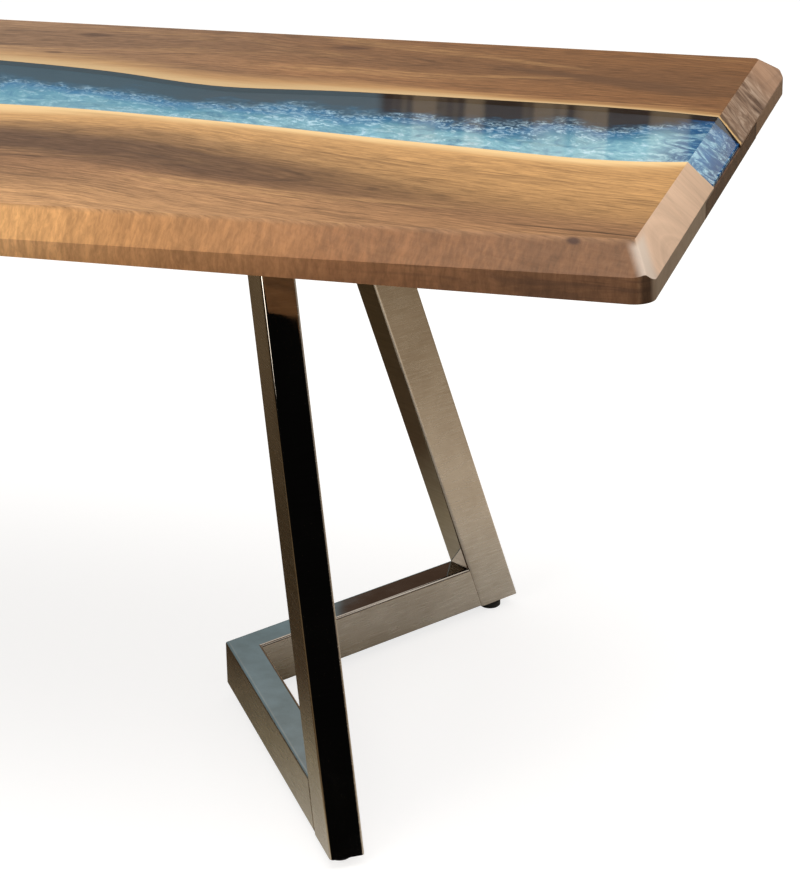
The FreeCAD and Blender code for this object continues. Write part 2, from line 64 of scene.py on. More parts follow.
CAMERA_AT = Vector((1.4392, -2.7512, 1.5025))
CAMERA_AIM = Vector((-0.26427, 0.89123, -0.36861))
CAMERA_ROLL = math.radians(-0.913)
CAMERA_REACH = 60.0
FOCAL_PIXELS = 2626.5
SENSOR = 36.0

# The table, from the frame.
TOP_LEVEL = CAD_BOX[1].z
HALF_LENGTH = CAD_BOX[1].x
HALF_WIDTH = CAD_BOX[1].y

# Shapes of the slabs.
WELD = 1e-5                 # points nearer than this are one
FLAT_TURN = 0.3             # faces that turn by fewer degrees are one
EDGE_ROUND = 0.0022         # worn edges of the slabs
EDGE_SEGMENTS = 3
EDGE_TURN = 14.0            # edges are worn where they turn by more degrees than this,
SIDE_ZONE = 0.06            # this near to a long side
END_ZONE = 0.04             # or this near to an end,
BANK_CLEAR = 0.012          # and this far from the river
HIP_ROUND = 0.005           # softer rounding where an end chamfer meets a long chamfer
HIP_SEGMENTS = 5
HIP_FALL = 0.004            # a hip falls by more than this
END_LEAN = (0.4, 0.3)       # an end chamfer's normal has more than this along the table and up,
LONG_LEAN = (0.15, 0.2)     # and a long chamfer's has more than this across the table and up

# Shapes of the river.
RIVER_SPLIT = 0.03          # a line between the banks at every station
BANK_SAMPLES = 33           # points of a plan line in a material
BOTTOM_SLACK = 1e-4         # points within this of the lowest are at the bottom
RESIN_LAP = 0.0010          # the resin's walls run this far into the wood
RESIN_DIP = 0.0001          # the resin's face lies this far under the wood's
RESIN_KEEL = 0.0030         # the resin's bottom is lowered by this, to lie under every wave
SEA_COLUMNS, SEA_ROWS = 500, 34
SEA_MARGIN = 0.0022         # the sea stops this far short of the table's ends
SEA_LAP = 0.0015            # and runs this far into the wood
SEA_SINK = 0.0008           # a calm sea lies this far under the CAD layer's face
SEA_LIFT = 0.0011           # the waves' mean height over the calm sea
SEA_RIPPLE = 0.0012         # and their rise and fall about it
SEA_CALM = 0.03             # the waves die out over this length at each end
SEA_SCALE = (14, 26)        # the waves' noise scale along and across the table
SEA_FRACTAL = (1.0, 2.0, 4)     # how fast finer waves get lower and shorter, and their number

# Faces that turn by fewer degrees than this are shaded as one.
SLAB_SMOOTH = 24.0
SEA_SMOOTH = 40.0
RESIN_SMOOTH = 20.0

# Most values of a noise field lie between these.
SPREAD = (0.3, 0.7)
WIDE_SPREAD = (0.28, 0.72)
FULL_SPREAD = (0.2, 0.8)


def srgb(red, green, blue):
    """Linear colour of an 8-bit display colour."""
    channels = [c / 255 for c in (red, green, blue)]
    return tuple(c / 12.92 if c <= 0.04045 else ((c + 0.055) / 1.055) ** 2.4 for c in channels) + (1.0,)


class Graph:
    """Short hand for building one node tree."""

    def __init__(self, tree, output="ShaderNodeOutputMaterial"):
        self.tree = tree
        tree.nodes.clear()
        self.output = self.node(output)

    def node(self, kind, **settings):
        made = self.tree.nodes.new(kind)
        for name, setting in settings.items():
            setattr(made, name, setting)
        return made

    def feed(self, socket, source):
        """Links a socket, or sets a constant on it."""
        if isinstance(source, bpy.types.NodeSocket):
            self.tree.links.new(source, socket)
        else:
            socket.default_value = source

    def show(self, shader):
        """Makes a shader the one that the tree puts out."""
        self.feed(self.output.inputs["Surface"], shader.outputs[0])

    def mix_shaders(self, factor, first, second):
        made = self.node("ShaderNodeMixShader")
        for socket, source in zip(made.inputs, (factor, first.outputs[0], second.outputs[0])):
            self.feed(socket, source)
        return made

    def ray(self, kind):
        """One where the ray is of a kind, such as Is Camera Ray."""
        return self.node("ShaderNodeLightPath").outputs[kind]

    def math(self, operation, first, second=0.0):
        made = self.node("ShaderNodeMath", operation=operation)
        self.feed(made.inputs[0], first)
        self.feed(made.inputs[1], second)
        return made.outputs[0]

    def add(self, first, second):
        return self.math("ADD", first, second)

    def less(self, first, second):
        return self.math("SUBTRACT", first, second)

    def times(self, first, *others):
        for other in others:
            first = self.math("MULTIPLY", first, other)
        return first

    def size(self, value):
        return self.math("ABSOLUTE", value)

    def length(self, across, up):
        """Length of the long side of a right triangle."""
        squares = [self.math("POWER", side, 2.0) for side in (across, up)]
        return self.math("SQRT", self.add(*squares))

    def blend(self, first, second, share):
        """Mean of two values, with the first one's share."""
        return self.add(self.times(first, share), self.times(second, 1 - share))

    def step(self, value, low, high, to_low=0.0, to_high=1.0):
        """Smooth step of a value from one limit to the other, in either direction."""
        if low > high:
            low, high, to_low, to_high = high, low, to_high, to_low
        made = self.node("ShaderNodeMapRange", interpolation_type="SMOOTHSTEP")
        for index, source in enumerate((value, low, high, to_low, to_high)):
            self.feed(made.inputs[index], source)
        return made.outputs[0]

    def combine(self, x, y, z):
        made = self.node("ShaderNodeCombineXYZ")
        for socket, source in zip(made.inputs, (x, y, z)):
            self.feed(socket, source)
        return made.outputs[0]

    def split(self, vector):
        made = self.node("ShaderNodeSeparateXYZ")
        self.feed(made.inputs[0], vector)
        return made.outputs

    def noise(self, vector, detail=2.0, roughness=0.5, distortion=0.0, scale=1.0):
        made = self.node("ShaderNodeTexNoise")
        self.feed(made.inputs["Vector"], vector)
        made.inputs["Scale"].default_value = scale
        made.inputs["Detail"].default_value = detail
        made.inputs["Roughness"].default_value = roughness
        made.inputs["Distortion"].default_value = distortion
        return made.outputs[0]

    def stretched(self, point, scales, **settings):
        """Noise with its own scale, per metre, along each axis."""
        scaled = [self.times(axis, scale) for axis, scale in zip(point, scales)]
        return self.noise(self.combine(*scaled), **settings)

    def wander(self, field, reach):
        """A value between 0 and 1 as an offset to both sides of zero."""
        return self.times(self.add(field, -0.5), reach)

    def ramp(self, value, *stops):
        """Colour ramp through (position, colour) stops."""
        made = self.node("ShaderNodeValToRGB")
        elements = made.color_ramp.elements
        for index, (position, colour) in enumerate(stops):
            stop = elements[index] if index < 2 else elements.new(position)
            stop.position = position
            stop.color = colour
        self.feed(made.inputs[0], value)
        return made.outputs[0]

    def mix(self, factor, first, second, blend="MIX"):
        made = self.node("ShaderNodeMix", data_type="RGBA", blend_type=blend)
        self.feed(made.inputs["Factor"], factor)
        self.feed(made.inputs[6], first)
        self.feed(made.inputs[7], second)
        return made.outputs[2]

    def shade(self, colour, factor):
        return self.mix(1.0, colour, self.combine(factor, factor, factor), "MULTIPLY")

    def mottle(self, colour, field, at_low, at_high, spread=SPREAD):
        """Shades a colour by a noise field."""
        return self.shade(colour, self.step(field, *spread, at_low, at_high))

    def curve(self, value, points):
        """Smooth curve through points in the unit square."""
        made = self.node("ShaderNodeFloatCurve")
        line = made.mapping.curves[0]
        for index, (across, up) in enumerate(points):
            if index < 2:
                line.points[index].location = (across, up)
            else:
                line.points.new(across, up)
        made.mapping.update()
        self.feed(made.inputs["Value"], value)
        return made.outputs[0]

    def bump(self, height, strength, distance):
        made = self.node("ShaderNodeBump")
        made.inputs["Strength"].default_value = strength
        made.inputs["Distance"].default_value = distance
        self.feed(made.inputs["Height"], height)
        return made.outputs[0]

    def point(self):
        return self.node("ShaderNodeTexCoord").outputs["Object"]

    def facing(self):
        """Direction of the surface in the piece's own frame."""
        source = self.node("ShaderNodeNewGeometry").outputs["Normal"]
        turn = self.node(
            "ShaderNodeVectorTransform", vector_type="NORMAL", convert_from="WORLD", convert_to="OBJECT"
        )
        self.feed(turn.inputs[0], source)
        return self.split(turn.outputs[0])


def new_material(name):
    """A material with one principled shader, ready to be fed."""
    material = bpy.data.materials.new(name)
    material.use_nodes = True
    graph = Graph(material.node_tree)
    shader = graph.node("ShaderNodeBsdfPrincipled")
    graph.show(shader)
    return material, graph, shader


def set_finish(graph, shader, colour, roughness, relief):
    """Feeds or sets the shader's colour, roughness and relief."""
    graph.feed(shader.inputs["Base Color"], colour)
    graph.feed(shader.inputs["Roughness"], roughness)
    graph.feed(shader.inputs["Normal"], relief)


# River banks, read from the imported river

def bank_lines():
    """Front and rear bank of the river in plan, each a list of points sorted along the table."""
    mesh = frame["nodes"]["river_wave_layer"].data
    floor = min(vertex.co.z for vertex in mesh.vertices)
    low = [vertex.co for vertex in mesh.vertices if vertex.co.z < floor + WELD]
    front = sorted((p.x, p.y) for p in low if p.y < RIVER_SPLIT)
    rear = sorted((p.x, p.y) for p in low if p.y > RIVER_SPLIT)
    return front, rear


def at_station(line, x):
    """Offset of a line in plan at a place along the table."""
    for (x0, y0), (x1, y1) in zip(line, line[1:]):
        if x <= x1:
            share = (x - x0) / (x1 - x0) if x1 > x0 else 0.0
            return y0 + (y1 - y0) * max(share, 0.0)
    return line[-1][1]


FRONT_LINE, REAR_LINE = bank_lines()


def length_share(graph, along):
    """Place along the table, from 0 at its left end to 1 at its right end."""
    return graph.add(graph.times(along, 0.5 / HALF_LENGTH), 0.5)


def plan_offset(graph, along, line):
    """Offset of a line in plan, as nodes, from the place along the table."""
    points = []
    for index in range(BANK_SAMPLES):
        share = index / (BANK_SAMPLES - 1)
        offset = at_station(line, (2 * share - 1) * HALF_LENGTH)
        points.append((share, offset / (2 * HALF_WIDTH) + 0.5))
    return graph.wander(graph.curve(length_share(graph, along), points), 2 * HALF_WIDTH)


# Walnut

CREAM = srgb(224, 190, 138)
TAN = srgb(180, 137, 88)
BROWN = srgb(148, 109, 75)
DARK = srgb(88, 63, 45)
STREAK = srgb(64, 45, 32)
GOLD = srgb(204, 160, 106)
BARK = srgb(50, 43, 38)
KNOT = srgb(66, 42, 30)
KNOT_CORE = 0.3             # the darkest share of a knot's radius

# Lay of the dark heartwood in each slab, in plan.
FRONT_LAY = ((-1.0, -0.20), (-0.6, -0.25), (-0.2, -0.20), (0.2, -0.168), (0.38, -0.186),
             (0.53, -0.232), (0.7, -0.274), (0.85, -0.300), (1.0, -0.318))
REAR_LAY = ((-1.0, 0.26), (-0.5, 0.24), (0.0, 0.29), (0.3, 0.31), (0.6, 0.27), (0.8, 0.26), (1.0, 0.235))
LAY_DRIFT = 0.05            # the grain wanders this far about the lay
PITH_DEPTH = 0.06           # the growth rings bend round a line this far under the top
PITH_SLOPE = 0.04           # and falling this much along the table
HEART_REACH = 0.09          # the heartwood fades out this far from the lay,
HEART_CORE = 0.015          # from its full depth this near to it
HEART_RAG = 0.05            # the growth lines move its edge this far
SAP_RAG = 0.022             # the growth lines move the sapwood's edge this far,
SAP_DRIFT = 0.02            # and the broad figure this far
BARK_REACH = (0.030, 0.020)     # the bark fades out between these distances from the bank
WOOD_RELIEF = {"strength": 0.12, "distance": 0.0008}
WOOD_GLOSS = 0.18


class Walnut:
    """Grain fields of one slab and the colour mixed from them."""

    def __init__(self, name, bank, lay, side):
        self.material, self.graph, self.shader = new_material(name)
        graph = self.graph
        self.place = graph.split(graph.point())
        self.x, self.y, self.z = self.place
        self.down = graph.less(TOP_LEVEL, self.z)
        face = graph.facing()
        self.face_x = graph.size(face[0])
        self.face_z = graph.size(face[2])
        self.inward = graph.times(graph.less(self.y, plan_offset(graph, self.x, bank)), side)
        sway = graph.stretched(self.place, (1.7, 6.0, 6.0), detail=2.0)
        off_lay = graph.less(self.y, plan_offset(graph, self.x, lay))
        self.across = graph.add(off_lay, graph.wander(sway, LAY_DRIFT))
        height = graph.add(graph.less(self.z, TOP_LEVEL - PITH_DEPTH), graph.times(self.x, PITH_SLOPE))
        rings = (self.x, graph.length(self.across, height), self.z)
        fibres = (self.x, self.across, self.z)
        self.broad = graph.stretched(fibres, (1.4, 15.0, 2.0), detail=3.0, roughness=0.6, distortion=0.4)
        self.lines = graph.stretched(rings, (3.0, 95.0, 6.0), detail=4.0, roughness=0.62, distortion=0.5)
        self.dashes = graph.stretched(
            fibres, (13.0, 150.0, 25.0), detail=3.0, roughness=0.6, distortion=0.6
        )
        self.fine = graph.stretched(fibres, (30.0, 270.0, 60.0), detail=3.0, roughness=0.65)
        self.pores = graph.stretched(fibres, (75.0, 640.0, 200.0), detail=2.0, roughness=0.6)

    def lay_heart(self, colour, strength):
        """Dark heartwood along the lay, with its edges broken up by the grain."""
        graph = self.graph
        off = graph.size(graph.add(self.across, graph.wander(self.lines, HEART_RAG)))
        self.heart = graph.times(graph.step(off, HEART_REACH, HEART_CORE), strength)
        return graph.mix(self.heart, colour, DARK)

    def by_heart(self, outside, gain):
        """A strength that differs by the gain in the heartwood."""
        return self.graph.add(self.graph.times(self.heart, gain), outside)

    def lay_lines(self, colour):
        """Dark clouds and dashes, darker and lighter growth lines, fine grain and pores."""
        graph = self.graph
        clouds = graph.step(self.broad, 0.48, 0.68, to_high=0.36)
        colour = graph.mix(clouds, colour, DARK)
        dashes = graph.times(graph.step(self.dashes, 0.55, 0.68), self.by_heart(outside=0.20, gain=0.36))
        colour = graph.mix(dashes, colour, STREAK)
        dark = graph.times(graph.step(self.lines, 0.56, 0.68), self.by_heart(outside=0.36, gain=0.52))
        colour = graph.mix(dark, colour, STREAK)
        pale = graph.times(graph.step(self.lines, 0.44, 0.30), self.by_heart(outside=0.28, gain=-0.22))
        colour = graph.mix(pale, colour, GOLD)
        colour = graph.mottle(colour, self.fine, 0.70, 1.26, WIDE_SPREAD)
        pores = graph.step(self.pores, 0.56, 0.68, to_high=0.34)
        return graph.mix(pores, colour, STREAK)

    def lay_sap(self, colour, width, cream):
        """Pale sapwood along the river, with a golden margin about as wide again."""
        graph = self.graph
        ragged = graph.add(graph.wander(self.lines, SAP_RAG), graph.wander(self.broad, SAP_DRIFT))
        share = graph.math("DIVIDE", graph.add(self.inward, ragged), width)
        colour = graph.mix(graph.step(share, 2.0, 0.6, to_high=0.5), colour, GOLD)
        return graph.mix(graph.step(share, 1.0, 0.15, to_high=0.95), colour, cream)

    def bark_wall(self, colour):
        """Dark live edge on the wall of the bank, seen through the resin."""
        graph = self.graph
        upright = graph.step(self.face_z, 0.6, 0.3)
        near = graph.step(self.inward, *BARK_REACH)
        inside = graph.step(self.face_x, 0.9, 0.7)
        return graph.mix(graph.times(upright, near, inside), colour, BARK)

    def finish(self, colour):
        """Oiled wood with a fine relief."""
        graph = self.graph
        roughness = graph.step(self.fine, *FULL_SPREAD, to_low=0.52, to_high=0.40)
        relief = graph.blend(self.fine, self.pores, share=0.5)
        set_finish(graph, self.shader, colour, roughness, graph.bump(relief, **WOOD_RELIEF))
        self.shader.inputs["Specular IOR Level"].default_value = WOOD_GLOSS
        return self.material


def end_faces(wood, colour, chamfer, face):
    """Ends, with one tone for the chamfer and one for the upright face below it; the front slab's paler end
    tones are partly the end grain's colour and partly painted sheen.
    """
    graph = wood.graph
    upright = graph.step(wood.face_z, 0.5, 0.2)
    tone = graph.mix(upright, chamfer, face)
    tone = graph.mottle(tone, wood.lines, 1.06, 0.92)
    tone = graph.mottle(tone, wood.broad, 1.08, 0.90)
    end = graph.step(graph.less(wood.face_x, graph.times(upright, 0.40)), 0.42, 0.58, to_high=0.85)
    return graph.mix(end, colour, tone)


def knot(wood, colour, place, radius, length, depth):
    """Small dark knot, drawn out along the grain by its length."""
    graph = wood.graph
    dx = graph.times(graph.add(wood.x, -place[0]), 1 / length)
    dy = graph.add(wood.y, -place[1])
    spread = graph.add(graph.length(dx, dy), graph.wander(wood.dashes, radius))
    return graph.mix(graph.step(spread, radius, KNOT_CORE * radius, to_high=depth), colour, KNOT)


def off_line(wood, place, slope, field, rag):
    """Distance in plan from a straight line through a place, broken up by a grain field."""
    graph = wood.graph
    line = graph.add(graph.times(graph.add(wood.x, -place[0]), slope), place[1])
    return graph.size(graph.add(graph.less(wood.y, line), graph.wander(field, rag)))


# Front slab. Tones along the table are at shares of its length.

RIM_TONES = (
    (0.63, srgb(232, 178, 116)),
    (0.73, srgb(186, 134, 84)),
    (0.84, srgb(142, 97, 61)),
    (0.95, srgb(112, 77, 50)),
)
RIM_DEPTH = (-0.001, 0.005)     # the edge's own figure sets in between these depths under the top,
RIM_RAG = 0.003                 # moved this far by the grain
RIM_COVER = 0.88
SWIRL = srgb(66, 48, 37)
SWIRL_FADE = (0.60, 0.90)       # the swirls set in between these places along the table
SIDE_TINT = (1.05, 1.10, 1.30, 1.0)
# Painted shade on the rounded corner where the front side turns to the end.
CORNER_SHADE = srgb(62, 46, 36)
CORNER_SHADE_COVER = 0.8
FRONT_KNOT = {"place": (0.915, -0.387), "radius": 0.0065, "length": 1.5, "depth": 0.9}
VEIN_AT = (0.855, -0.358)
VEIN_SLOPE = -0.10
VEIN_RAG = 0.012
VEIN_HALF = (0.0032, 0.0006)
VEIN_FADE = (0.78, 0.88)
VEIN_COVER = 0.7
# Painted highlight along the near hip, where the front chamfer meets the right end chamfer.
HIP_AT = (0.973, -0.3785)       # a point of the near hip
HIP_ACROSS = (0.907, 0.422)     # direction across it, in plan
HIP_SHIFT = 0.005               # the band's middle lies this far along that direction
HIP_BAND = (0.016, 0.003)
HIP_DEPTH = (0.000, 0.006)
HIP_FADE = (0.955, 0.965)
HIP_HIGHLIGHT_COVER = 0.75
HIP_HIGHLIGHT = srgb(206, 192, 178)
TAN_TO_BROWN = (0.03, -0.05)    # the wood turns brown between these distances from the lay
NEAR_LEFT = srgb(182, 138, 94)
NEAR_RUN = (-0.26, -0.35)       # it turns light again between these places across the table
LEFT_RUN = (0.80, 0.25)         # and these along it
FRONT_HEART_RUN = (0.95, 0.45)  # the heartwood deepens between these places along the table,
FRONT_HEART = (0.30, 0.93)      # from one strength to the other
FRONT_SAP_RUN = (0.34, 0.04)    # the sapwood widens between these places,
FRONT_SAP = (0.026, 0.070)      # from one width to the other
# Pale end tones of the front slab: partly the end grain's colour, partly painted sheen.
FRONT_CHAMFER_END_WITH_SHEEN = srgb(212, 181, 155)
FRONT_UPRIGHT_END_WITH_SHEEN = srgb(160, 142, 124)


def front_rim(wood, colour):
    """Long front edge: curly figure, amber to the left and brown to the right.

    Its upright side has dark swirls to the right, and its rounded corner is darkened with painted shade."""
    graph = wood.graph
    tone = graph.ramp(length_share(graph, wood.x), *RIM_TONES)
    curl = graph.stretched(wood.place, (62.0, 9.0, 14.0), detail=3.0, roughness=0.6, distortion=0.8)
    specks = graph.stretched(wood.place, (230.0, 60.0, 80.0), detail=3.0, roughness=0.65, distortion=0.4)
    tone = graph.mottle(tone, curl, 0.82, 1.12)
    tone = graph.mottle(tone, specks, 0.80, 1.16, WIDE_SPREAD)
    rim = graph.step(graph.add(wood.down, graph.wander(wood.dashes, RIM_RAG)), *RIM_DEPTH)
    long_edge = graph.times(graph.step(wood.face_x, 0.45, 0.25), graph.step(wood.face_z, 0.99, 0.96))
    colour = graph.mix(graph.times(rim, long_edge, RIM_COVER), colour, tone)
    side = graph.step(wood.face_z, 0.30, 0.12)
    swirl = graph.stretched(wood.place, (6.0, 10.0, 55.0), detail=4.0, roughness=0.6, distortion=1.6)
    swirls = graph.times(graph.step(swirl, 0.47, 0.62, to_high=0.42), graph.step(wood.x, *SWIRL_FADE))
    colour = graph.mix(graph.times(swirls, side), colour, SWIRL)
    colour = graph.mix(side, colour, SIDE_TINT, "MULTIPLY")
    # Painted shade: the rounded corner darkened by the direction it faces.
    corner_shade = graph.times(graph.step(wood.face_x, 0.25, 0.60), graph.step(wood.face_z, 0.30, 0.15))
    return graph.mix(graph.times(corner_shade, CORNER_SHADE_COVER), colour, CORNER_SHADE)


def front_marks(wood, colour):
    """Small knot on the front chamfer and the thin dark vein behind it."""
    graph = wood.graph
    colour = knot(wood, colour, **FRONT_KNOT)
    off = off_line(wood, VEIN_AT, VEIN_SLOPE, wood.broad, VEIN_RAG)
    vein = graph.times(graph.step(off, *VEIN_HALF), graph.step(wood.x, *VEIN_FADE))
    return graph.mix(graph.times(vein, VEIN_COVER), colour, STREAK)


def painted_hip_highlight(wood, colour):
    """Painted highlight: a pale band along the hip between the front chamfer and the right end chamfer,
    standing in for the sheen on the rounded hip.
    """
    graph = wood.graph
    dx = graph.times(graph.add(wood.x, -HIP_AT[0]), HIP_ACROSS[0])
    dy = graph.times(graph.add(wood.y, -HIP_AT[1]), HIP_ACROSS[1])
    away = graph.size(graph.add(graph.add(dx, dy), -HIP_SHIFT))
    below = graph.step(wood.down, *HIP_DEPTH)
    slope = graph.step(wood.face_z, 0.25, 0.45)
    right = graph.step(wood.x, *HIP_FADE)
    highlight = graph.times(graph.step(away, *HIP_BAND), below, slope, right, HIP_HIGHLIGHT_COVER)
    return graph.mix(highlight, colour, HIP_HIGHLIGHT)


def front_walnut():
    wood = Walnut("walnut_front", FRONT_LINE, FRONT_LAY, -1)
    graph = wood.graph
    base = graph.mix(graph.step(wood.across, *TAN_TO_BROWN), TAN, BROWN)
    near_left = graph.times(graph.step(wood.y, *NEAR_RUN), graph.step(wood.x, *LEFT_RUN))
    base = graph.mix(near_left, base, NEAR_LEFT)
    colour = wood.lay_heart(base, graph.step(wood.x, *FRONT_HEART_RUN, *FRONT_HEART))
    colour = wood.lay_lines(colour)
    colour = wood.lay_sap(colour, graph.step(wood.x, *FRONT_SAP_RUN, *FRONT_SAP), CREAM)
    colour = front_rim(wood, colour)
    colour = front_marks(wood, colour)
    # Front end tones, partly painted sheen.
    colour = end_faces(wood, colour, FRONT_CHAMFER_END_WITH_SHEEN, FRONT_UPRIGHT_END_WITH_SHEEN)
    # Painted highlight on the rounded hip at the right end.
    colour = painted_hip_highlight(wood, colour)
    colour = wood.bark_wall(colour)
    return wood.finish(colour)


# Rear slab

REAR_TONES = (
    (0.50, srgb(156, 121, 89)),
    (0.72, srgb(144, 103, 67)),
    (0.95, srgb(122, 84, 53)),
)
REAR_HEART = 0.42
REAR_CREAM = srgb(192, 162, 118)
REAR_SAP_RUN = (0.80, 0.35)
REAR_SAP = (0.012, 0.042)
REAR_EDGE_DEPTH = (0.0, 0.006)
REAR_EDGE_SHADE = 0.82
REAR_KNOTS = (
    {"place": (0.132, 0.323), "radius": 0.014, "length": 2.2, "depth": 0.55},
    {"place": (0.473, 0.325), "radius": 0.016, "length": 2.0, "depth": 0.60},
    {"place": (0.115, 0.223), "radius": 0.008, "length": 2.4, "depth": 0.45},
)
WEDGE_AT = (0.635, 0.286)
WEDGE_SLOPE = -0.305
WEDGE_RAG = 0.03
WEDGE_RUN = (0.60, 0.95)        # the wedge widens between these places along the table,
WEDGE_HALF = (0.006, 0.036)     # from one half width to the other
WEDGE_RISE = (0.60, 0.74)
WEDGE_FADE = (0.98, 0.88)
WEDGE_COVER = 0.6
WORN_TONES = ((0.34, srgb(92, 69, 53)), (0.50, srgb(144, 118, 97)), (0.68, srgb(196, 172, 150)))
WORN_RAG = 0.02
CORNER_RUN = (0.16, 0.26)       # the end pales to the corner's tone between these distances from the bank
CORNER_PALE = srgb(184, 145, 116)
BANK_DARK = srgb(70, 50, 38)
BANK_DARK_FADE = (0.024, 0.012)
BANK_RIM = srgb(222, 184, 126)
BANK_RIM_FADE = (0.008, 0.004)
REAR_UPRIGHT_END = srgb(158, 130, 108)


def rear_marks(wood, colour):
    """Knots of the rear slab and the dark wedge of heartwood towards its right end."""
    graph = wood.graph
    off = off_line(wood, WEDGE_AT, WEDGE_SLOPE, wood.lines, WEDGE_RAG)
    half = graph.step(wood.x, *WEDGE_RUN, *WEDGE_HALF)
    wedge = graph.step(graph.math("DIVIDE", off, half), 1.0, 0.3)
    reach = graph.times(graph.step(wood.x, *WEDGE_RISE), graph.step(wood.x, *WEDGE_FADE))
    colour = graph.mix(graph.times(wedge, reach, WEDGE_COVER), colour, DARK)
    for mark in REAR_KNOTS:
        colour = knot(wood, colour, **mark)
    return colour


def rear_end(wood):
    """Rear slab's end chamfer: weathered figure, plain at the corner, dark and pale beside the river."""
    graph = wood.graph
    figure = graph.stretched(wood.place, (16.0, 34.0, 16.0), detail=4.0, roughness=0.62, distortion=2.2)
    tone = graph.ramp(figure, *WORN_TONES)
    tone = graph.mix(graph.step(wood.inward, *CORNER_RUN, to_high=0.8), tone, CORNER_PALE)
    inward = graph.add(wood.inward, graph.wander(figure, WORN_RAG))
    tone = graph.mix(graph.step(inward, *BANK_DARK_FADE, to_high=0.8), tone, BANK_DARK)
    return graph.mix(graph.step(inward, *BANK_RIM_FADE), tone, BANK_RIM)


def rear_walnut():
    wood = Walnut("walnut_rear", REAR_LINE, REAR_LAY, 1)
    graph = wood.graph
    base = graph.ramp(length_share(graph, wood.x), *REAR_TONES)
    colour = wood.lay_heart(base, REAR_HEART)
    colour = wood.lay_lines(colour)
    colour = wood.lay_sap(colour, graph.step(wood.x, *REAR_SAP_RUN, *REAR_SAP), REAR_CREAM)
    colour = rear_marks(wood, colour)
    edge = graph.step(wood.down, *REAR_EDGE_DEPTH, to_low=1.0, to_high=REAR_EDGE_SHADE)
    colour = graph.shade(colour, edge)
    colour = end_faces(wood, colour, rear_end(wood), REAR_UPRIGHT_END)
    colour = wood.bark_wall(colour)
    return wood.finish(colour)


# Bed board

BED_TONES = ((0.3, srgb(62, 44, 34)), (0.5, srgb(92, 68, 50)), (0.7, srgb(122, 92, 68)))
BED_GLOSS = 0.2


def bed_wood():
    """Plain darker walnut of the board under the river."""
    material, graph, shader = new_material("walnut_bed")
    point = graph.split(graph.point())
    lines = graph.stretched(point, (1.4, 60.0, 60.0), detail=4.0, roughness=0.6, distortion=0.4)
    fine = graph.stretched(point, (12.0, 500.0, 500.0), detail=2.0)
    grain = graph.blend(lines, fine, share=0.7)
    roughness = graph.step(fine, *FULL_SPREAD, to_low=0.55, to_high=0.42)
    relief = graph.bump(grain, strength=0.1, distance=0.0008)
    set_finish(graph, shader, graph.ramp(grain, *BED_TONES), roughness, relief)
    shader.inputs["Specular IOR Level"].default_value = BED_GLOSS
    return material


# Resin

SEA_TONES = (
    (0.02, srgb(130, 170, 180)),
    (0.24, srgb(104, 154, 170)),
    (0.42, srgb(46, 106, 146)),
    (0.52, srgb(44, 74, 96)),
)
# Deep water: slate to the left; to the right a greyer tone that is a painted reflection of the room.
DEEP_LEFT = srgb(49, 59, 66)
DEEP_ROOM_REFLECTION = srgb(56, 56, 58)
SHALLOW = srgb(158, 204, 214)
TROUGH = srgb(36, 96, 140)
END_BLUE = srgb(26, 82, 130)
LIP_BLUE = srgb(22, 58, 104)
FOAM = srgb(206, 230, 238)
SEA_ROUGH = 0.9
SEA_SLANT = 0.05
SWELL_REACH = 0.75          # the swell and the curls move the deep water's edge, in widths of the river
CURL_REACH = 0.28
# Stretches of the sea along the table.
# Where the painted reflection of the room sets in over the deep water.
ROOM_REFLECTION_RUN = (0.30, 0.42)
FOAM_RUN = (0.30, 0.60)
SHALLOW_RUN = (0.54, 0.66)
SHORE_RUN = (HALF_LENGTH - 0.16, HALF_LENGTH - 0.04)
END_RUN = (HALF_LENGTH - 0.085, HALF_LENGTH - 0.040)
LIP_RUN = (HALF_LENGTH - 0.035, HALF_LENGTH - 0.006)
RESIN_TINT = (0.93, 0.97, 0.98, 1.0)
RESIN_IOR = 1.5


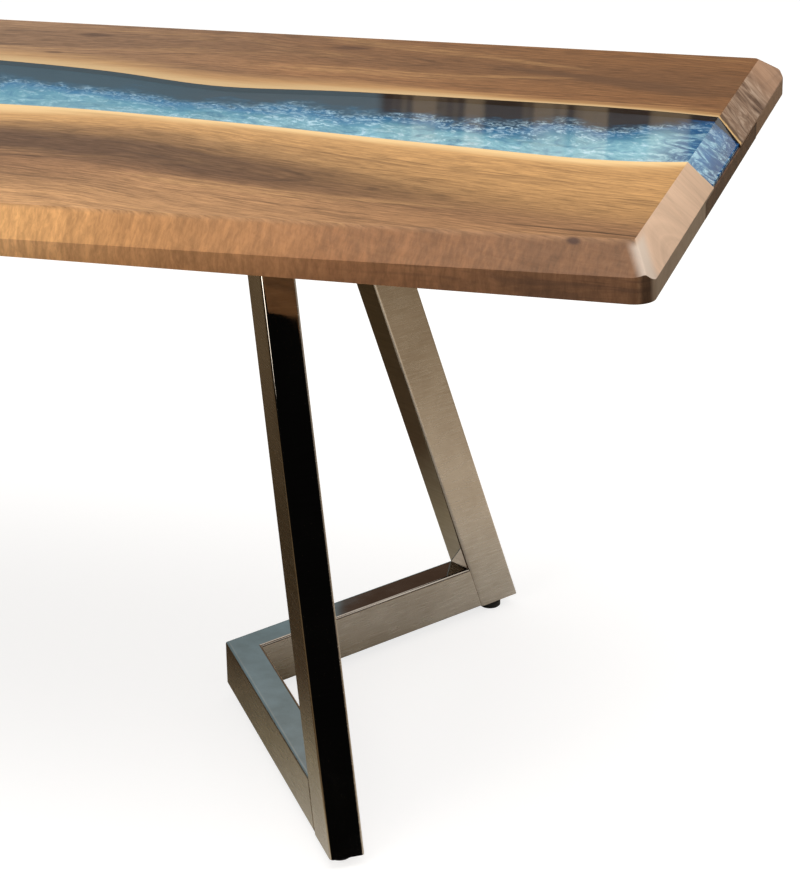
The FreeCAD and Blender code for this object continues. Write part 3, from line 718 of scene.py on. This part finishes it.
def wave_resin():
    """Sea seen through the resin: slate deep water behind, turquoise with white foam in front.

    It is navy at the right end. Towards the right, the deep water carries a painted reflection of the room."""
    material, graph, shader = new_material("wave_resin")
    along, across, level = graph.split(graph.node("ShaderNodeUVMap", uv_map="river").outputs[0])
    sea = (graph.add(along, graph.times(across, SEA_SLANT)), across, level)
    swell = graph.stretched(sea, (9.0, 1.6, 0.0), detail=3.0, roughness=0.55)
    curl = graph.stretched(sea, (27.0, 6.5, 0.0), detail=6.0, roughness=0.66, distortion=1.9)
    spray = graph.stretched(sea, (95.0, 20.0, 0.0), detail=5.0, roughness=0.68, distortion=1.2)
    front = graph.add(across, graph.wander(swell, SWELL_REACH))
    front = graph.add(front, graph.wander(curl, CURL_REACH))
    front = graph.less(front, graph.step(along, *SHORE_RUN, to_low=0.12, to_high=0.50))
    tone = graph.ramp(front, *SEA_TONES)
    shallow = graph.times(graph.step(along, *SHALLOW_RUN), graph.step(front, 0.34, 0.08, to_high=0.6))
    tone = graph.mix(shallow, tone, SHALLOW)
    # Deep water, with a painted reflection of the room towards the right.
    deep_and_reflection = graph.mix(graph.step(along, *ROOM_REFLECTION_RUN), DEEP_LEFT, DEEP_ROOM_REFLECTION)
    tone = graph.mix(graph.step(front, 0.50, 0.66), tone, deep_and_reflection)
    troughs = graph.times(graph.step(curl, 0.52, 0.30), graph.step(front, 0.6, 0.3, to_high=0.55))
    tone = graph.mix(troughs, tone, TROUGH)
    end = graph.step(along, *END_RUN)
    navy = graph.times(end, graph.step(curl, 0.62, 0.42, to_low=0.25, to_high=0.90))
    tone = graph.mix(navy, tone, END_BLUE)
    tone = graph.mix(graph.step(along, *LIP_RUN, to_high=0.7), tone, LIP_BLUE)
    wisps = graph.times(graph.step(curl, 0.48, 0.62), graph.step(spray, 0.38, 0.62))
    wisps = graph.times(wisps, graph.step(front, 0.60, 0.30))
    crest = graph.times(graph.step(front, 0.30, 0.44), graph.step(front, 0.60, 0.47))
    crest = graph.times(crest, graph.step(spray, 0.46, 0.64, to_high=0.7))
    foam = graph.math("MAXIMUM", wisps, crest)
    strength = graph.less(
        graph.step(along, *FOAM_RUN, to_low=0.60, to_high=0.95), graph.times(end, 0.30)
    )
    colour = graph.mix(graph.times(foam, strength), tone, FOAM)
    relief = graph.bump(graph.add(curl, foam), strength=0.3, distance=0.002)
    set_finish(graph, shader, colour, SEA_ROUGH, relief)
    shader.inputs["Specular IOR Level"].default_value = 0.0
    return material


def clear_resin():
    """Polished clear resin that lets lamps through to the sea below."""
    material, graph, shader = new_material("clear_resin")
    haze = graph.noise(graph.point(), detail=3.0, roughness=0.6, scale=9.0)
    roughness = graph.step(haze, *SPREAD, to_low=0.012, to_high=0.03)
    set_finish(graph, shader, RESIN_TINT, roughness, graph.bump(haze, strength=0.04, distance=0.001))
    shader.inputs["IOR"].default_value = RESIN_IOR
    shader.inputs["Transmission Weight"].default_value = 1.0
    clear = graph.node("ShaderNodeBsdfTransparent")
    clear.inputs[0].default_value = RESIN_TINT
    graph.show(graph.mix_shaders(graph.ray("Is Shadow Ray"), shader, clear))
    return material


# Metal and plastic

STEEL_TONES = ((0.32, srgb(184, 174, 162)), (0.68, srgb(212, 205, 196)))
GLIDE_TONES = ((0.3, srgb(16, 16, 17)), (0.7, srgb(34, 34, 35)))
PLATED_ROUGH = (0.25, 0.37)


def frame_steel():
    """Champagne steel: faces that look along the table brushed in level lines, the others polished."""
    material, graph, shader = new_material("frame_steel")
    point = graph.point()
    brush = graph.step(graph.size(graph.facing()[0]), 0.62, 0.74)
    streaks = graph.stretched(graph.split(point), (30.0, 30.0, 420.0), detail=3.0, roughness=0.6)
    cloud = graph.noise(point, detail=4.0, roughness=0.6, distortion=0.3, scale=14.0)
    tint = graph.ramp(graph.blend(streaks, cloud, share=0.5), *STEEL_TONES)
    brushed = graph.times(graph.step(streaks, *SPREAD, to_low=0.16, to_high=0.30), brush)
    polished = graph.times(graph.step(cloud, *SPREAD, to_low=0.03, to_high=0.08), graph.less(1.0, brush))
    relief = graph.bump(graph.times(streaks, brush), strength=0.03, distance=0.0004)
    set_finish(graph, shader, tint, graph.add(brushed, polished), relief)
    shader.inputs["Metallic"].default_value = 1.0
    return material


def plated_metal(name, dark, light):
    """Small hardware: plated metal with a faint mottle."""
    material, graph, shader = new_material(name)
    mottle = graph.noise(graph.point(), detail=4.0, roughness=0.6, scale=260.0)
    tint = graph.ramp(mottle, (SPREAD[0], dark), (SPREAD[1], light))
    roughness = graph.step(mottle, *SPREAD, *PLATED_ROUGH)
    set_finish(graph, shader, tint, roughness, graph.bump(mottle, strength=0.05, distance=0.0003))
    shader.inputs["Metallic"].default_value = 1.0
    return material


def black_glide():
    """Moulded black nylon with a fine grain."""
    material, graph, shader = new_material("black_glide")
    grain = graph.noise(graph.point(), detail=4.0, roughness=0.6, scale=700.0)
    roughness = graph.step(grain, *SPREAD, to_low=0.34, to_high=0.5)
    relief = graph.bump(grain, strength=0.12, distance=0.0003)
    set_finish(graph, shader, graph.ramp(grain, *GLIDE_TONES), roughness, relief)
    return material


# Pieces

def paint(mesh, material):
    mesh.materials.clear()
    mesh.materials.append(material)


def add_piece(name, mesh, material, node):
    """A piece that stands for a CAD node and moves with its body."""
    piece = bpy.data.objects.new(name, mesh)
    bpy.context.scene.collection.objects.link(piece)
    paint(mesh, material)
    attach(piece, "table")
    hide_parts(node)


def node_copy(node):
    """The node's surface as a clean bmesh, with flat areas joined into single faces."""
    shape = bmesh.new()
    shape.from_mesh(frame["nodes"][node].data)
    bmesh.ops.remove_doubles(shape, verts=shape.verts, dist=WELD)
    flat = math.radians(FLAT_TURN)
    bmesh.ops.dissolve_limit(shape, angle_limit=flat, verts=shape.verts, edges=shape.edges)
    return shape


def mesh_from(shape, name, smooth_angle):
    """A mesh shaded smooth below the angle, without the normals carried over from the CAD mesh."""
    mesh = bpy.data.meshes.new(name)
    shape.normal_update()
    shape.to_mesh(mesh)
    shape.free()
    if "custom_normal" in mesh.attributes:
        mesh.attributes.remove(mesh.attributes["custom_normal"])
    mesh.shade_smooth()
    mesh.set_sharp_from_angle(angle=math.radians(smooth_angle))
    return mesh


def is_hip(edge):
    """Edge where an end chamfer meets a long chamfer."""
    if not edge.is_manifold:
        return False
    normals = [face.normal for face in edge.link_faces]
    ends = [n for n in normals if abs(n.x) > END_LEAN[0] and n.z > END_LEAN[1]]
    longs = [n for n in normals if abs(n.y) > LONG_LEAN[0] and n.z > LONG_LEAN[1]]
    sloping = abs(edge.verts[0].co.z - edge.verts[1].co.z) > HIP_FALL
    return len(ends) == 1 and len(longs) >= 1 and sloping


def is_worn(edge, bank, side):
    """Sharp outer edge of a slab, clear of the river."""
    middle = (edge.verts[0].co + edge.verts[1].co) / 2
    clear_of_bank = side * (middle.y - at_station(bank, middle.x)) > BANK_CLEAR
    outer = abs(middle.y) > HALF_WIDTH - SIDE_ZONE or abs(middle.x) > HALF_LENGTH - END_ZONE
    sharp = edge.is_manifold and edge.calc_face_angle(0.0) > math.radians(EDGE_TURN)
    return clear_of_bank and outer and sharp


def soften(shape, edges, width, segments, clamp=True):
    bmesh.ops.bevel(
        shape, geom=edges, offset=width, segments=segments, profile=0.5, affect="EDGES", clamp_overlap=clamp
    )
    shape.normal_update()


def worn_slab(node, material, bank, side):
    """A slab with its outer edges worn round; the edge along the river stays crisp against the resin."""
    shape = node_copy(node)
    shape.normal_update()
    hips = [edge for edge in shape.edges if is_hip(edge)]
    soften(shape, hips, HIP_ROUND, HIP_SEGMENTS, clamp=False)
    worn = [edge for edge in shape.edges if is_worn(edge, bank, side)]
    soften(shape, worn, EDGE_ROUND, EDGE_SEGMENTS)
    mesh = mesh_from(shape, node, SLAB_SMOOTH)
    add_piece(node + "_worn", mesh, material, node)


def wave_height(x, y):
    """Height of the waves over the calm sea."""
    swell = noise.fractal(Vector((x * SEA_SCALE[0], y * SEA_SCALE[1], 0.0)), *SEA_FRACTAL)
    inland = min(1.0, (HALF_LENGTH - abs(x)) / SEA_CALM)
    return (SEA_LIFT + SEA_RIPPLE * swell) * inland


def sea_grid(shape, level):
    """Points of the sea's face, in columns from bank to bank."""
    grid = []
    for i in range(SEA_COLUMNS + 1):
        x = (2 * i / SEA_COLUMNS - 1) * (HALF_LENGTH - SEA_MARGIN)
        front = at_station(FRONT_LINE, x) - SEA_LAP
        rear = at_station(REAR_LINE, x) + SEA_LAP
        across = [front + (rear - front) * j / SEA_ROWS for j in range(SEA_ROWS + 1)]
        grid.append([shape.verts.new((x, y, level + wave_height(x, y))) for y in across])
    return grid


def river_sea(material):
    """Wave layer as one sheet of swell and ripples, from bank to bank, closed down to the bed."""
    low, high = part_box("river_wave_layer")
    shape = bmesh.new()
    uv = shape.loops.layers.uv.new("river")
    grid = sea_grid(shape, high.z - SEA_SINK)
    for i in range(SEA_COLUMNS):
        for j in range(SEA_ROWS):
            corners = ((i, j), (i + 1, j), (i + 1, j + 1), (i, j + 1))
            face = shape.faces.new([grid[a][b] for a, b in corners])
            for loop, (a, b) in zip(face.loops, corners):
                loop[uv].uv = (grid[a][b].co.x, b / SEA_ROWS)
    rim = [edge for edge in shape.edges if edge.is_boundary]
    skirt = bmesh.ops.extrude_edge_only(shape, edges=rim)["geom"]
    for element in skirt:
        if isinstance(element, bmesh.types.BMVert):
            element.co.z = low.z
    bottom = [edge for edge in shape.edges if edge.is_boundary]
    bmesh.ops.holes_fill(shape, edges=bottom, sides=0)
    bmesh.ops.recalc_face_normals(shape, faces=shape.faces)
    mesh = mesh_from(shape, "river_sea", SEA_SMOOTH)
    add_piece("river_sea", mesh, material, "river_wave_layer")


def river_resin(material):
    """Clear resin, with its walls lapped a hair into the wood so that the banks show through it."""
    shape = node_copy("river_clear_resin")
    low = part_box("river_clear_resin")[0]
    for vertex in shape.verts:
        vertex.co.y += RESIN_LAP if vertex.co.y > RIVER_SPLIT else -RESIN_LAP
        vertex.co.z -= RESIN_KEEL if vertex.co.z < low.z + BOTTOM_SLACK else RESIN_DIP
    mesh = mesh_from(shape, "river_resin", RESIN_SMOOTH)
    add_piece("river_resin", mesh, material, "river_clear_resin")


def dress():
    """The four pieces of the top that replace their nodes, and a material for every other node."""
    worn_slab("slab_front", front_walnut(), FRONT_LINE, -1)
    worn_slab("slab_rear", rear_walnut(), REAR_LINE, 1)
    river_sea(wave_resin())
    river_resin(clear_resin())
    by_slot = {
        "walnut_bed": bed_wood(),
        "frame_steel": frame_steel(),
        "zinc_steel": plated_metal("zinc_steel", dark=srgb(150, 150, 148), light=srgb(196, 196, 192)),
        "brass": plated_metal("brass", dark=srgb(176, 134, 66), light=srgb(212, 172, 96)),
        "black_glide": black_glide(),
    }
    for part in frame["record"]["subparts"]:
        if part["material_slot"] in by_slot:
            paint(frame["nodes"][part["node"]].data, by_slot[part["material_slot"]])


# Stage

FLOOR_HALF = 14.0
FLOOR_FROM, FLOOR_SPAN = -0.5, 3.0      # start and length of the floor's tones along the table
# Floor tones that reflections see: painted shadow to the left, under the table, and a painted pool of light
# beside the right frame, fading further right.
FLOOR_PAINTED_LIGHT = (
    (0.033, srgb(102, 87, 66)),
    (0.183, srgb(104, 88, 64)),
    (0.267, srgb(117, 100, 79)),
    (0.317, srgb(193, 184, 159)),
    (0.383, srgb(237, 235, 228)),
    (0.517, srgb(226, 214, 196)),
    (0.667, srgb(163, 148, 127)),
    (0.967, srgb(138, 122, 100)),
)
FLOOR_PALE = (0.36, 0.36, 0.36, 1.0)
FLOOR_GLOW = (1.0, 0.995, 0.99, 1.0)
FLOOR_GLOW_STRENGTH = 0.775

# Room, by the direction from the table: each pair is where a part of it starts and where it is full.
CEILING_RISE = (0.39, 0.8)
BEHIND = (-0.2, 0.6)
WALL_EDGE = (-0.283, -0.278)
BOARD_SCALE = 66.0
BOARD_EDGE = (0.46, 0.56)       # in the noise that lays out the boards
BOARD_TOP = (0.37, 0.31)
PATCH_RIGHT = (-0.05, 0.35)
PATCH_TOP = (0.30, 0.14)
CEILING = srgb(255, 251, 246)
PALE_WALL = srgb(126, 150, 162)
DARK_BOARD = srgb(76, 58, 46)
LIGHT_BOARD = srgb(172, 147, 116)
PATCH = srgb(200, 197, 192)
IN_FRONT = srgb(9, 9, 9)
BACKDROP = (1.06, 1.06, 1.06, 1.0)
ROOM_STRENGTH = 0.97

SOFTBOXES = (
    {"name": "overhead", "place": (0.9, -0.6, 3.6), "aim": (0.3, 0.0, 0.5),
     "width": 3.2, "height": 3.2, "power": 90.0, "colour": (1.0, 1.0, 1.0)},
    {"name": "front_fill", "place": (-1.2, -4.2, 2.4), "aim": (0.2, 0.0, 0.6),
     "width": 2.4, "height": 1.8, "power": 60.0, "colour": (1.0, 0.95, 0.88)},
)


def add_camera():
    data = bpy.data.cameras.new("photo_camera")
    data.sensor_width = SENSOR
    data.lens = FOCAL_PIXELS * SENSOR / max(PHOTO_WIDTH, PHOTO_HEIGHT)
    data.clip_end = CAMERA_REACH
    camera = bpy.data.objects.new("photo_camera", data)
    bpy.context.scene.collection.objects.link(camera)
    forward = CAMERA_AIM.normalized()
    right = forward.cross(Vector((0, 0, 1))).normalized()
    up = right.cross(forward)
    level = Matrix((right, up, -forward)).transposed()
    turn = level @ Matrix.Rotation(CAMERA_ROLL, 3, "Z")
    camera.matrix_world = Matrix.Translation(CAMERA_AT) @ turn.to_4x4()
    bpy.context.scene.camera = camera


def floor_material():
    """Near white to the eye; reflections see it warm, with painted shadow to the left and a painted pool of
    light beside the right frame.

    From below it is clear, so that the underside of the table shows."""
    material = bpy.data.materials.new("floor")
    material.use_nodes = True
    graph = Graph(material.node_tree)
    along = graph.split(graph.point())[0]
    share = graph.times(graph.add(along, -FLOOR_FROM), 1 / FLOOR_SPAN)
    # Painted light and shade along the floor, for the rays that are not the eye's.
    painted_light_floor = graph.node("ShaderNodeBsdfDiffuse")
    graph.feed(painted_light_floor.inputs[0], graph.ramp(share, *FLOOR_PAINTED_LIGHT))
    pale = graph.node("ShaderNodeBsdfDiffuse")
    pale.inputs[0].default_value = FLOOR_PALE
    glow = graph.node("ShaderNodeEmission")
    glow.inputs[0].default_value = FLOOR_GLOW
    glow.inputs[1].default_value = FLOOR_GLOW_STRENGTH
    lifted = graph.node("ShaderNodeAddShader")
    graph.feed(lifted.inputs[0], pale.outputs[0])
    graph.feed(lifted.inputs[1], glow.outputs[0])
    above = graph.mix_shaders(graph.ray("Is Camera Ray"), painted_light_floor, lifted)
    from_below = graph.node("ShaderNodeNewGeometry").outputs["Backfacing"]
    graph.show(graph.mix_shaders(from_below, above, graph.node("ShaderNodeBsdfTransparent")))
    return material


def add_floor():
    mesh = bpy.data.meshes.new("floor")
    half = FLOOR_HALF
    corners = [(-half, -half, 0), (half, -half, 0), (half, half, 0), (-half, half, 0)]
    mesh.from_pydata(corners, [], [(0, 1, 2, 3)])
    floor = bpy.data.objects.new("floor", mesh)
    bpy.context.scene.collection.objects.link(floor)
    mesh.materials.append(floor_material())


def add_softbox(name, place, aim, width, height, power, colour):
    data = bpy.data.lights.new(name, "AREA")
    data.shape = "RECTANGLE"
    data.size = width
    data.size_y = height
    data.energy = power
    data.color = colour
    lamp = bpy.data.objects.new(name, data)
    bpy.context.scene.collection.objects.link(lamp)
    lamp.location = place
    lamp.rotation_mode = "QUATERNION"
    lamp.rotation_quaternion = (Vector(aim) - Vector(place)).to_track_quat("-Z", "Y")


def add_room():
    """Room light: a bright ceiling, a pale wall and a wall of upright boards behind, and dark in front.

    A paler patch lies low on the right. The eye itself sees a white backdrop."""
    world = bpy.data.worlds.new("room")
    bpy.context.scene.world = world
    world.use_nodes = True
    graph = Graph(world.node_tree, "ShaderNodeOutputWorld")
    x, y, z = graph.split(graph.node("ShaderNodeTexCoord").outputs["Generated"])
    behind = graph.step(y, *BEHIND)
    stripes = graph.noise(graph.combine(graph.times(x, BOARD_SCALE), 0.0, 0.0))
    boards = graph.times(graph.step(stripes, *BOARD_EDGE), graph.step(z, *BOARD_TOP))
    timber = graph.mix(boards, DARK_BOARD, LIGHT_BOARD)
    wall = graph.mix(graph.step(x, *WALL_EDGE), PALE_WALL, timber)
    colour = graph.mix(behind, IN_FRONT, wall)
    patch = graph.times(graph.step(x, *PATCH_RIGHT), graph.step(z, *PATCH_TOP), behind)
    colour = graph.mix(patch, colour, PATCH)
    colour = graph.mix(graph.step(z, *CEILING_RISE), colour, CEILING)
    colour = graph.mix(graph.ray("Is Camera Ray"), colour, BACKDROP)
    background = graph.node("ShaderNodeBackground")
    graph.feed(background.inputs[0], colour)
    background.inputs[1].default_value = ROOM_STRENGTH
    graph.show(background)


def add_stage():
    add_camera()
    add_floor()
    add_room()
    for softbox in SOFTBOXES:
        add_softbox(**softbox)
    bpy.context.scene.view_settings.view_transform = "Standard"


dress()
add_stage()
